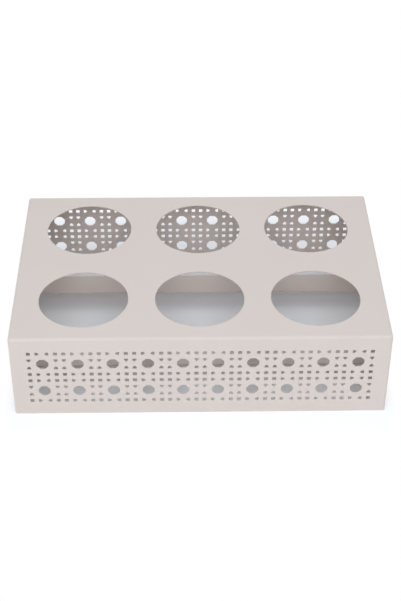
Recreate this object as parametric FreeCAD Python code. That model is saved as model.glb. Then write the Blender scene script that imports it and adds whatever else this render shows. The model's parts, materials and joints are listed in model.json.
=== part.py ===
import FreeCAD, Part
import math
import os

# Bottle caddy of powder-coated sheet steel: a box with no floor, holes in its top for the
# bottles, cane-work cut-outs in its front and rear walls, and two rails inside for the
# bottles to stand on. Millimetres, +X along the box, +Y to the rear, +Z up, with the
# origin on the table under the middle of the box.

# Bottle holes in the top
hole_columns = 3
hole_rows = 2
hole_diameter = 80.0
hole_gap_along = 24.0
hole_gap_across = 29.0
end_margin = 22.75
side_margin = 16.0

# Sheet steel box
overall_height = 86.5
sheet_thickness = 1.2
inside_bend_radius = 1.3

# Cane-work cut-outs: each square cell has an octagon in its middle, a square near each
# corner, and darts as wide as the squares along its sides, which point at the middle of
# the side; strands of sheet are left between the squares of neighbouring cells
cell_pitch = 30.75
octagon_width = 10.5
square_side = 3.55
dart_straight_length = 1.95
strand_width = 3.65
square_to_dart_gap = 4.1
field_least_border = 8.0
field_rise = 0.6

# Bottle rails
rail_width = 27.0
rail_thickness = 1.5
rail_top_height = 20.0
rail_tab_depth = 12.0
rail_inside_bend_radius = 1.5

# How far a cutting shape runs past the faces that it cuts
overrun = 1.0

# Sizes that follow from the ones above
edge_radius = inside_bend_radius + sheet_thickness
hole_pitch_along = hole_diameter + hole_gap_along
hole_pitch_across = hole_diameter + hole_gap_across
overall_length = hole_columns * hole_pitch_along - hole_gap_along + 2 * end_margin
overall_depth = hole_rows * hole_pitch_across - hole_gap_across + 2 * side_margin
inside_length = overall_length - 2 * sheet_thickness
inside_depth = overall_depth - 2 * sheet_thickness
inside_top = overall_height - sheet_thickness
flat_length = overall_length - 2 * edge_radius
flat_height = overall_height - edge_radius
field_centre_height = flat_height / 2 + field_rise
square_offset = (cell_pitch - strand_width - square_side) / 2
dart_back = square_offset - square_side / 2 - square_to_dart_gap


def centred_places(count, pitch):
    """Places of a row of equal steps, centred on zero."""
    return [(index - (count - 1) / 2) * pitch for index in range(count)]


def centred_box(length, depth, bottom, top):
    """A plain block centred on the upright axis."""
    corner = FreeCAD.Vector(-length / 2, -depth / 2, bottom)
    return Part.makeBox(length, depth, top - bottom, corner)


def edges_at_top(block):
    """The four edges round the top of a plain block."""
    top = max(corner.Z for corner in block.Vertexes)
    return [edge for edge in block.Edges if min(corner.Z for corner in edge.Vertexes) == top]


def upright_edges(block):
    """The four edges that stand up at the corners of a plain block."""
    return [edge for edge in block.Edges if edge.Vertexes[0].Z != edge.Vertexes[-1].Z]


def box_skin():
    """The whole box, open below: its top edges are bends, and its upright corners are welds
    that are square inside and ground round outside."""
    outside = centred_box(overall_length, overall_depth, 0, overall_height)
    outside = outside.makeFillet(edge_radius, edges_at_top(outside) + upright_edges(outside))
    inside = centred_box(inside_length, inside_depth, -overrun, inside_top)
    inside = inside.makeFillet(inside_bend_radius, edges_at_top(inside))
    return outside.cut(inside)


def top_plate(skin):
    """The top with its turned-down edge, down to the end of the bend, and its bottle holes."""
    slab = centred_box(overall_length, overall_depth, flat_height, overall_height)
    plate = skin.common(slab)
    drill_base = flat_height - overrun
    drill_length = edge_radius + 2 * overrun
    for x in centred_places(hole_columns, hole_pitch_along):
        for y in centred_places(hole_rows, hole_pitch_across):
            base = FreeCAD.Vector(x, y, drill_base)
            plate = plate.cut(Part.makeCylinder(hole_diameter / 2, drill_length, base))
    return plate


def end_panel(skin, side):
    """An end wall with its two upright corners; side is -1 for left, 1 for right."""
    corner_x = -overall_length / 2 if side < 0 else flat_length / 2
    corner = FreeCAD.Vector(corner_x, -overall_depth / 2, 0)
    return skin.common(Part.makeBox(edge_radius, overall_depth, flat_height, corner))


def closed_wire(points):
    """A closed outline in the plane of a wall, from (along, up) points."""
    vectors = [FreeCAD.Vector(along, 0, up) for along, up in points]
    return Part.makePolygon(vectors + vectors[:1])


def octagon(along, up):
    """A regular octagon with two sides level."""
    flat = octagon_width / 2
    point = flat * math.tan(math.pi / 8)
    quarter = [(flat, point), (point, flat)]
    outline = []
    for turn in range(4):
        outline += quarter
        quarter = [(-b, a) for a, b in quarter]
    return closed_wire([(along + a, up + b) for a, b in outline])


def square(along, up):
    """A square cut-out near the corner of a cell."""
    half = square_side / 2
    outline = [(-half, -half), (half, -half), (half, half), (-half, half)]
    return closed_wire([(along + a, up + b) for a, b in outline])


def dart(along, up, side, across, upright):
    """A square with a pointed end, lying in the line of squares at the given offset."""
    half = square_side / 2
    shoulder = dart_back - dart_straight_length
    tip = shoulder - half
    outline = [(dart_back, -half), (dart_back, half), (shoulder, half), (tip, 0), (shoulder, -half)]
    placed = [(side * a, across + b) for a, b in outline]
    if upright:
        placed = [(b, a) for a, b in placed]
    return closed_wire([(along + a, up + b) for a, b in placed])


def cell_cut_outs(along, up):
    """All the cut-outs of one cell of the cane-work."""
    wires = [octagon(along, up)]
    for side in (-1, 1):
        for line in (-square_offset, square_offset):
            wires.append(square(along + side * square_offset, up + line))
            wires.append(dart(along, up, side, line, upright=False))
            wires.append(dart(along, up, side, line, upright=True))
    return wires


def perforated_panel():
    """The flat front wall with its cane-work cut-outs."""
    half = flat_length / 2
    wires = [closed_wire([(-half, 0), (half, 0), (half, flat_height), (-half, flat_height)])]
    columns = int((flat_length - 2 * field_least_border) / cell_pitch)
    rows = int((flat_height - 2 * field_least_border) / cell_pitch)
    for along in centred_places(columns, cell_pitch):
        for up in centred_places(rows, cell_pitch):
            wires += cell_cut_outs(along, field_centre_height + up)
    face = Part.makeFace(wires, "Part::FaceMakerBullseye")
    face.translate(FreeCAD.Vector(0, -overall_depth / 2, 0))
    return face.extrude(FreeCAD.Vector(0, sheet_thickness, 0))


def end_edges_at_top(block):
    """The two edges across the ends of a plain block, at its top."""
    return [edge for edge in edges_at_top(block) if edge.Vertexes[0].X == edge.Vertexes[-1].X]


def rail(y):
    """A flat strip with both ends bent down into tabs that are welded to the end walls."""
    tab_bottom = rail_top_height - rail_tab_depth
    strip = centred_box(inside_length, rail_width, tab_bottom, rail_top_height)
    outside_bend_radius = rail_inside_bend_radius + rail_thickness
    strip = strip.makeFillet(outside_bend_radius, end_edges_at_top(strip))
    gap_length = inside_length - 2 * rail_thickness
    gap_width = rail_width + 2 * overrun
    gap_top = rail_top_height - rail_thickness
    gap = centred_box(gap_length, gap_width, tab_bottom - overrun, gap_top)
    gap = gap.makeFillet(rail_inside_bend_radius, end_edges_at_top(gap))
    return strip.cut(gap).translated(FreeCAD.Vector(0, y, 0))


skin = box_skin()
front_panel = perforated_panel()
rear_panel = front_panel.translated(FreeCAD.Vector(0, overall_depth - sheet_thickness, 0))
front_row, rear_row = centred_places(hole_rows, hole_pitch_across)
nodes = {
    "top_plate": top_plate(skin),
    "front_panel": front_panel,
    "rear_panel": rear_panel,
    "left_end": end_panel(skin, -1),
    "right_end": end_panel(skin, 1),
    "front_rail": rail(front_row),
    "rear_rail": rail(rear_row),
}

os.makedirs("parts", exist_ok=True)
for name, shape in nodes.items():
    shape.exportStep("parts/" + name + ".step")
    box = shape.BoundBox
    sizes = (box.XLength, box.YLength, box.ZLength)
    print(name, len(shape.Solids), "solid", shape.isValid(), "%.2f x %.2f x %.2f mm" % sizes)
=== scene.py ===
import json
import math

import bpy
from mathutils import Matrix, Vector


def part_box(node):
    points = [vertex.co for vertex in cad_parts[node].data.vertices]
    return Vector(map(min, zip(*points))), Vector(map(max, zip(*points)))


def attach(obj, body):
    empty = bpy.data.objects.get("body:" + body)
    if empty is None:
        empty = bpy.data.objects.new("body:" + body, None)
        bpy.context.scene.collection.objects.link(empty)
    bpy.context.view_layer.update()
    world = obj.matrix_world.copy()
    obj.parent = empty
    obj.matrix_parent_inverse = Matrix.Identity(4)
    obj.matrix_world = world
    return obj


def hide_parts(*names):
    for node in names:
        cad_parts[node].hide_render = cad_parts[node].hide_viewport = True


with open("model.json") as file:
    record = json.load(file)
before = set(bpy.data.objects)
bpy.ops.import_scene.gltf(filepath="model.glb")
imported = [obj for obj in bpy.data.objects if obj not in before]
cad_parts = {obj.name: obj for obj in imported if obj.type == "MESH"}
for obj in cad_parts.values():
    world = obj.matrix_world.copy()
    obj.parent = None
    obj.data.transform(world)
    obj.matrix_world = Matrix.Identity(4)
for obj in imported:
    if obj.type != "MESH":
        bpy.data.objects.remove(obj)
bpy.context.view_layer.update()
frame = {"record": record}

# Bottle caddy of powder-coated sheet steel. Lengths are in metres; mm turns millimetres into them.
mm = 0.001

# Sizes of the box, read from the solids
top_low, top_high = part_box("top_plate")
front_low, front_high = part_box("front_panel")
sheet = front_high.y - front_low.y
edge_radius = top_high.z - top_low.z
flat_height = front_high.z
flat_half = front_high.x
bottle_holes = [mount for mount in frame["record"]["mounts"] if mount["kind"] == "bore"]

# Cane-work cut-outs, as in the solids
cell_columns = 10
cell_rows = 2
cell_pitch = 30.75 * mm
octagon_sides = 8
octagon_width = 10.5 * mm
square_side = 3.55 * mm
square_offset = 11.775 * mm
dart_back = 5.9 * mm
dart_straight_length = 1.95 * mm
field_rise = 0.6 * mm

# Rails, as in the solids
rail_thickness = 1.5 * mm
rail_bend_radius = 3.0 * mm

# Softened edges: the coat rounds every cut edge, and the cutting leaves small corner radii
cut_corner_radius = 0.35 * mm
cut_edge_radius = 0.2 * mm
hole_edge_radius = 0.25 * mm
rail_edge_radius = 0.45 * mm

# Flat faces across a bend, a softened rim and a softened cut-out, and round a bottle hole
bend_segments = 8
rim_segments = 3
cut_segments = 2
hole_segments = 128

# Two places closer than this are the same place, and faces that meet at more than this are sharp
hair = 0.002 * mm
sharp_degrees = 40

# Axes by their number in a vector
x_axis, z_axis = 0, 2

# Camera of the photograph: its place, its turn about X, Y and Z, and its lens on a 36 mm sensor
camera_place = Vector((-17.0, -968.9, 800.5)) * mm
camera_turn_degrees = (51.92, -0.19, -0.96)
camera_lens = 77.6
camera_sensor = 36.0

# Studio light: the strength of the white surroundings as a light, and the softboxes, each with its
# name, place, width and power
surroundings_strength = 0.46
softboxes = [
    ("key_softbox", Vector((0.0, -1.11, 1.42)), 1.2, 8.8),
    ("top_softbox", Vector((0.0, 0.0, 1.6)), 1.2, 3.0),
    ("left_softbox", Vector((-1.48, -1.04, 0.59)), 0.9, 6.0),
    ("right_softbox", Vector((1.48, -1.04, 0.59)), 0.9, 4.0),
    ("rear_softbox", Vector((0.2, 1.8, 0.4)), 0.7, 6.0),
]

# Table top: its width, its colour as a surface that throws light back, the linear tone in which it
# is seen, which is past white so that it looks white where the light is full, and the patch round
# the box that keeps the shadow, with how far beyond its edges the shadow has faded
table_width = 8.0
table_colour = "#F3F3F3"
table_seen_tone = (1.08, 1.14, 1.21, 1)
shadow_low = Vector((-162, -110, -1)) * mm
shadow_high = Vector((162, 180, 1)) * mm
shadow_fade_low = Vector((18, 35, 1)) * mm
shadow_fade_high = Vector((18, 55, 1)) * mm


# Modelling helpers

def make_active(piece):
    """Makes a piece the only one selected."""
    bpy.ops.object.select_all(action="DESELECT")
    piece.select_set(True)
    bpy.context.view_layer.objects.active = piece


def named(piece, name):
    """Gives an object and its mesh the same name."""
    piece.name = name
    piece.data.name = name
    return piece


def settle():
    """Moves the active object's place, turn and size into its mesh."""
    bpy.ops.object.transform_apply(location=True, rotation=True, scale=True)
    return bpy.context.object


def new_block(name, low, high):
    """A block between two corners."""
    bpy.ops.object.select_all(action="DESELECT")
    bpy.ops.mesh.primitive_cube_add(size=1, location=(low + high) / 2, scale=high - low)
    return named(settle(), name)


def copy_of(piece, name):
    """A copy of a piece with its own mesh."""
    make_active(piece)
    bpy.ops.object.duplicate()
    return named(bpy.context.object, name)


def joined(pieces, name):
    """Joins pieces into one mesh."""
    make_active(pieces[0])
    for piece in pieces:
        piece.select_set(True)
    bpy.ops.object.join()
    return named(bpy.context.object, name)


def edit(piece, kind, rule, only_sharp=False):
    """Opens a piece in edit mode with the edges or faces selected whose points pass a rule."""
    make_active(piece)
    bpy.ops.object.mode_set(mode="EDIT")
    bpy.ops.mesh.select_mode(type=kind)
    if only_sharp:
        bpy.ops.mesh.select_all(action="DESELECT")
        bpy.ops.mesh.edges_select_sharp(sharpness=math.radians(sharp_degrees))
    else:
        bpy.ops.mesh.select_all(action="SELECT")
    bpy.ops.object.mode_set(mode="OBJECT")
    chosen = []
    for item in piece.data.edges if kind == "EDGE" else piece.data.polygons:
        if item.select and rule([piece.data.vertices[index].co for index in item.vertices]):
            chosen.append(item.index)
    bpy.ops.object.mode_set(mode="EDIT")
    bpy.ops.mesh.select_all(action="DESELECT")
    bpy.ops.object.mode_set(mode="OBJECT")
    for index in chosen:
        item = piece.data.edges[index] if kind == "EDGE" else piece.data.polygons[index]
        item.select = True
    bpy.ops.object.mode_set(mode="EDIT")


def close_edit():
    """Leaves edit mode."""
    bpy.ops.object.mode_set(mode="OBJECT")


def apply_modifier(piece, kind, **settings):
    """Adds a modifier with its settings and applies it."""
    make_active(piece)
    modifier = piece.modifiers.new(kind.lower(), kind)
    for setting, value in settings.items():
        setattr(modifier, setting, value)
    bpy.ops.object.modifier_apply(modifier=modifier.name)


def cut_by(piece, cutter):
    """Cuts a cutter out of a piece and deletes the cutter."""
    apply_modifier(piece, "BOOLEAN", operation="DIFFERENCE", solver="EXACT", object=cutter)
    bpy.data.objects.remove(cutter)


def same(a, b):
    """True for two equal lengths."""
    return abs(a - b) < hair


def all_at(points, axis, place):
    """True if all the points lie at a place along an axis."""
    return all(same(point[axis], place) for point in points)


def soften(piece, rule, radius, segments):
    """Rounds the sharp edges of a piece whose points pass a rule."""
    edit(piece, "EDGE", rule, only_sharp=True)
    bpy.ops.mesh.bevel(offset=radius, segments=segments, affect="EDGES", clamp_overlap=False)
    close_edit()


def finish_piece(piece, node):
    """Smooths a piece's bends, gives it its coat, and lets it stand for its solid."""
    make_active(piece)
    bpy.ops.object.shade_smooth_by_angle(angle=math.radians(sharp_degrees))
    apply_modifier(piece, "WEIGHTED_NORMAL", mode="FACE_AREA", keep_sharp=True)
    piece.data.materials.clear()
    piece.data.materials.append(powder_coat)
    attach(piece, "root")
    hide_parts(node)


# Materials

def colour(hex_code):
    """Linear colour of an sRGB hex value."""
    channels = [int(hex_code[index:index + 2], 16) / 255 for index in (1, 3, 5)]
    linear = [c / 12.92 if c <= 0.04045 else ((c + 0.055) / 1.055) ** 2.4 for c in channels]
    return (*linear, 1.0)


def add_node(tree, kind, settings=None, links=None):
    """Adds a shader node with its settings and its links; a number stands for a socket's place."""
    node = tree.nodes.new(kind)
    for setting, value in (settings or {}).items():
        if isinstance(setting, int) or setting in node.inputs:
            node.inputs[setting].default_value = value
        else:
            setattr(node, setting, value)
    for socket, output in (links or {}).items():
        tree.links.new(output, node.inputs[socket])
    return node


def new_material(name):
    """An empty material and its node tree."""
    material = bpy.data.materials.new(name)
    material.use_nodes = True
    material.node_tree.nodes.clear()
    return material, material.node_tree


def make_powder_coat():
    """Matte polyester powder coat, sprayed and baked: pinkish cream, with a fine orange peel."""
    material, tree = new_material("powder_coated_steel")
    grain_size = 1.4 * mm
    cloud_size = 55.0 * mm
    peel_depth = 0.05 * mm
    peel_strength = 0.25
    smooth_roughness, dull_roughness = 0.65, 0.75
    polyester_ior = 1.5
    place = add_node(tree, "ShaderNodeTexCoord").outputs["Object"]
    grain = add_node(
        tree, "ShaderNodeTexNoise", {"Scale": 1 / grain_size, "Detail": 3.0}, {"Vector": place}
    ).outputs["Fac"]
    cloud = add_node(
        tree, "ShaderNodeTexNoise", {"Scale": 1 / cloud_size, "Detail": 2.0}, {"Vector": place}
    ).outputs["Fac"]
    # A colour mix has its factor at 0, its colours at 6 and 7, and its result at 2
    tints = {"data_type": "RGBA", 6: colour("#DCD3CF"), 7: colour("#E0D8D4")}
    tint = add_node(tree, "ShaderNodeMix", tints, {0: cloud})
    gloss = add_node(
        tree, "ShaderNodeMapRange", {"To Min": smooth_roughness, "To Max": dull_roughness},
        {"Value": grain},
    )
    peel = add_node(
        tree, "ShaderNodeBump", {"Strength": peel_strength, "Distance": peel_depth},
        {"Height": grain},
    )
    coat = add_node(
        tree, "ShaderNodeBsdfPrincipled", {"IOR": polyester_ior},
        {
            "Base Color": tint.outputs[2],
            "Roughness": gloss.outputs["Result"],
            "Normal": peel.outputs["Normal"],
        },
    )
    add_node(tree, "ShaderNodeOutputMaterial", {}, {"Surface": coat.outputs["BSDF"]})
    return material


# Sheet-steel box

def rounded_block(name, low, high, radius, rule):
    """A block between two corners, with the edges rounded that pass a rule."""
    block = new_block(name, low, high)
    edit(block, "EDGE", rule)
    bpy.ops.mesh.bevel(offset=radius, segments=bend_segments, affect="EDGES")
    close_edit()
    return block


def box_shell():
    """The box with no floor: bent along its top edges, welded and ground round at its corners."""
    low = Vector((top_low.x, top_low.y, 0))
    shell = rounded_block(
        "box_shell", low, top_high, edge_radius,
        lambda points: max(point.z for point in points) > 0,
    )
    wall = Vector((sheet, sheet, sheet))
    inside_low = low + wall - Vector((0, 0, 2 * sheet))
    inside_high = top_high - wall
    hollow = rounded_block(
        "hollow", inside_low, inside_high, edge_radius - sheet,
        lambda points: all_at(points, z_axis, inside_high.z),
    )
    cut_by(shell, hollow)
    return shell


def part_of(shell, name, cuts):
    """The part of the box beyond some planes, each given by an axis, a place and a side."""
    piece = copy_of(shell, name)
    for axis, place, side in cuts:
        point = Vector((0, 0, 0))
        point[axis] = place
        normal = Vector((0, 0, 0))
        normal[axis] = side
        edit(piece, "FACE", lambda points: True)
        bpy.ops.mesh.bisect(
            plane_co=point, plane_no=normal, use_fill=True, clear_inner=True, threshold=hair
        )
        close_edit()
    return piece


def make_top_plate(shell):
    """The top with its turned-down edge and its bottle holes, whose rims are softened."""
    plate = part_of(shell, "coated_top_plate", [(z_axis, flat_height, 1)])
    drill_length = 4 * edge_radius
    drills = []
    for hole in bottle_holes:
        bpy.ops.object.select_all(action="DESELECT")
        radius = hole["dims"]["r_mm"] * mm
        bpy.ops.mesh.primitive_cylinder_add(
            vertices=hole_segments, radius=radius, depth=drill_length, location=hole["pos_m"]
        )
        drills.append(settle())
    cut_by(plate, joined(drills, "drills"))

    def is_rim(points):
        if not same(points[0].z, points[1].z):
            return False
        for hole in bottle_holes:
            centre = Vector(hole["pos_m"]).xy
            radius = hole["dims"]["r_mm"] * mm
            if all(same((point.xy - centre).length, radius) for point in points):
                return True
        return False

    soften(plate, is_rim, hole_edge_radius, rim_segments)
    finish_piece(plate, "top_plate")


def make_end(shell, node, side):
    """An end wall with its two rounded corners; its lower edge is softened."""
    joint = side * flat_half
    end = part_of(shell, "coated_" + node, [(z_axis, flat_height, -1), (x_axis, joint, side)])

    def is_lower_edge(points):
        return all_at(points, z_axis, 0) and not all_at(points, x_axis, joint)

    soften(end, is_lower_edge, cut_edge_radius, cut_segments)
    finish_piece(end, node)


def dart_cutter(line):
    """A cutter for one dart: a bar whose inner end is drawn to a point."""
    half = square_side / 2
    shoulder = dart_back - dart_straight_length
    low = Vector((shoulder, -sheet, line - half))
    high = Vector((dart_back, sheet, line + half))
    dart = new_block("dart", low, high)
    edit(dart, "FACE", lambda points: all_at(points, x_axis, shoulder))
    bpy.ops.mesh.extrude_region_move(TRANSFORM_OT_translate={"value": (-half, 0, 0)})
    bpy.ops.transform.resize(value=(1, 1, 0), center_override=(0, 0, line))
    bpy.ops.mesh.select_all(action="SELECT")
    bpy.ops.mesh.remove_doubles(threshold=hair)
    close_edit()
    return dart


def cell_cutter():
    """Cutters for one cell of the cane-work, centred on the origin, with rounded corners."""
    quarter_turn = math.pi / 2
    half_side_turn = math.pi / octagon_sides
    octagon_radius = octagon_width / 2 / math.cos(half_side_turn)
    bpy.ops.object.select_all(action="DESELECT")
    bpy.ops.mesh.primitive_cylinder_add(
        vertices=octagon_sides, radius=octagon_radius, depth=2 * sheet,
        rotation=(quarter_turn, half_side_turn, 0),
    )
    cutters = [settle()]
    corner = Vector((square_offset, 0, square_offset))
    half = Vector((square_side / 2, sheet, square_side / 2))
    for turn in range(4):
        quarter = [
            new_block("square", corner - half, corner + half),
            dart_cutter(square_offset),
            dart_cutter(-square_offset),
        ]
        group = joined(quarter, "quarter")
        group.rotation_euler.y = turn * quarter_turn
        cutters.append(settle())
    cell = joined(cutters, "cell_cutter")

    def is_corner(points):
        return same(points[0].x, points[1].x) and same(points[0].z, points[1].z)

    edit(cell, "EDGE", is_corner)
    bpy.ops.mesh.bevel(offset=cut_corner_radius, segments=cut_segments, affect="EDGES")
    bpy.ops.mesh.select_all(action="SELECT")
    bpy.ops.mesh.normals_make_consistent(inside=False)
    close_edit()
    return cell


def make_perforated_panel(node, cell):
    """A flat wall with its field of cane-work cut-outs, all with softened edges."""
    low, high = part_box(node)
    panel = new_block("coated_" + node, low, high)
    cutter = copy_of(cell, "field_cutter")
    first = Vector((
        -(cell_columns - 1) / 2 * cell_pitch,
        (low.y + high.y) / 2,
        flat_height / 2 + field_rise - (cell_rows - 1) / 2 * cell_pitch,
    ))
    cutter.location = first
    settle()
    for count, step in ((cell_columns, (cell_pitch, 0, 0)), (cell_rows, (0, 0, cell_pitch))):
        apply_modifier(
            cutter, "ARRAY", count=count, use_relative_offset=False, use_constant_offset=True,
            constant_offset_displace=step,
        )
    cut_by(panel, cutter)

    def is_cut_edge(points):
        at_top = all_at(points, z_axis, flat_height)
        at_side = all(same(abs(point.x), flat_half) for point in points)
        return same(points[0].y, points[1].y) and not at_top and not at_side

    soften(panel, is_cut_edge, cut_edge_radius, cut_segments)
    finish_piece(panel, node)


# Rails

def make_rail(node):
    """A flat strip with its ends bent down into tabs; all its edges are softened."""
    low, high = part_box(node)
    bpy.ops.object.select_all(action="DESELECT")
    centre = (low + high) / 2
    bpy.ops.mesh.primitive_plane_add(size=1, location=(centre.x, centre.y, high.z))
    rail = named(bpy.context.object, "coated_" + node)
    rail.scale = (high.x - low.x, high.y - low.y, 1)
    settle()
    for end in (low.x, high.x):
        edit(
            rail, "EDGE",
            lambda points: all_at(points, x_axis, end) and all_at(points, z_axis, high.z),
        )
        bpy.ops.mesh.extrude_region_move(TRANSFORM_OT_translate={"value": (0, 0, low.z - high.z)})
        close_edit()

    def is_bend(points):
        return all_at(points, z_axis, high.z) and same(points[0].x, points[1].x)

    edit(rail, "EDGE", is_bend)
    bpy.ops.mesh.bevel(offset=rail_bend_radius, segments=bend_segments, affect="EDGES")
    bpy.ops.mesh.select_all(action="SELECT")
    bpy.ops.mesh.normals_make_consistent(inside=False)
    close_edit()
    apply_modifier(rail, "SOLIDIFY", thickness=rail_thickness, offset=-1, use_even_offset=True)
    soften(rail, lambda points: True, rail_edge_radius, rim_segments)
    finish_piece(rail, node)


# Stage

def seen_rays(tree):
    """An output that is 1 where a thing is seen, also by reflection or through another one."""
    path = add_node(tree, "ShaderNodeLightPath").outputs
    seen = path["Is Camera Ray"]
    for ray in ("Is Glossy Ray", "Is Transmission Ray"):
        either = add_node(
            tree, "ShaderNodeMath", {"operation": "MAXIMUM"}, {0: seen, 1: path[ray]}
        )
        seen = either.outputs["Value"]
    return seen


def make_floor():
    """A wide pale table top that shows white to the camera and keeps the shadow of the box."""
    bpy.ops.object.select_all(action="DESELECT")
    bpy.ops.mesh.primitive_plane_add(size=table_width)
    floor = named(bpy.context.object, "floor")
    material, tree = new_material("pale_table_top")
    seen = seen_rays(tree)
    tones = {"data_type": "RGBA", 6: colour(table_colour), 7: table_seen_tone}
    tone = add_node(tree, "ShaderNodeMix", tones, {0: seen})
    top = add_node(tree, "ShaderNodeBsdfDiffuse", {}, {"Color": tone.outputs[2]})
    place = add_node(tree, "ShaderNodeTexCoord").outputs["Object"]
    # On a vector, Map Range has the vector at 6 and the two ends of its range at 7 and 8
    beyond = []
    for edge, way in ((shadow_low, -shadow_fade_low), (shadow_high, shadow_fade_high)):
        reach = {"data_type": "FLOAT_VECTOR", 7: edge, 8: edge + way}
        beyond.append(add_node(tree, "ShaderNodeMapRange", reach, {6: place}).outputs["Vector"])
    both = add_node(
        tree, "ShaderNodeVectorMath", {"operation": "ADD"}, {0: beyond[0], 1: beyond[1]}
    )
    away = add_node(
        tree, "ShaderNodeVectorMath", {"operation": "LENGTH"}, {0: both.outputs["Vector"]}
    )
    fade = add_node(
        tree, "ShaderNodeMapRange", {"interpolation_type": "SMOOTHSTEP"},
        {"Value": away.outputs["Value"]},
    )
    part = add_node(
        tree, "ShaderNodeMath", {"operation": "MULTIPLY"}, {0: fade.outputs["Result"], 1: seen}
    )
    white = add_node(tree, "ShaderNodeEmission")
    surface = add_node(
        tree, "ShaderNodeMixShader", {},
        {0: part.outputs["Value"], 1: top.outputs["BSDF"], 2: white.outputs["Emission"]},
    )
    add_node(tree, "ShaderNodeOutputMaterial", {}, {"Surface": surface.outputs["Shader"]})
    floor.data.materials.append(material)


def make_world():
    """White surroundings: plain white to the camera, softer as a light."""
    world = bpy.data.worlds.new("studio")
    bpy.context.scene.world = world
    world.use_nodes = True
    tree = world.node_tree
    tree.nodes.clear()
    power = add_node(
        tree, "ShaderNodeMapRange", {"To Min": surroundings_strength, "To Max": 1.0},
        {"Value": seen_rays(tree)},
    )
    sky = add_node(
        tree, "ShaderNodeBackground", {"Color": colour("#FFFFFF")},
        {"Strength": power.outputs["Result"]},
    )
    add_node(tree, "ShaderNodeOutputWorld", {}, {"Surface": sky.outputs["Background"]})


def make_softbox(name, place, size, power):
    """A square softbox that faces the middle of the box."""
    light = bpy.data.lights.new(name, "AREA")
    light.shape = "SQUARE"
    light.size = size
    light.energy = power
    lamp = bpy.data.objects.new(name, light)
    bpy.context.scene.collection.objects.link(lamp)
    lamp.location = place
    lamp.visible_camera = False
    lamp.rotation_euler = (-place).to_track_quat("-Z", "Y").to_euler()


def make_camera():
    """The photograph's camera."""
    data = bpy.data.cameras.new("camera")
    data.lens = camera_lens
    data.sensor_width = camera_sensor
    camera = bpy.data.objects.new("camera", data)
    bpy.context.scene.collection.objects.link(camera)
    camera.location = camera_place
    camera.rotation_euler = [math.radians(turn) for turn in camera_turn_degrees]
    bpy.context.scene.camera = camera


powder_coat = make_powder_coat()
shell = box_shell()
make_top_plate(shell)
make_end(shell, "left_end", -1)
make_end(shell, "right_end", 1)
bpy.data.objects.remove(shell)
cell = cell_cutter()
make_perforated_panel("front_panel", cell)
make_perforated_panel("rear_panel", cell)
bpy.data.objects.remove(cell)
make_rail("front_rail")
make_rail("rear_rail")

make_floor()
make_world()
for softbox in softboxes:
    make_softbox(*softbox)
make_camera()
bpy.context.scene.view_settings.view_transform = "Standard"
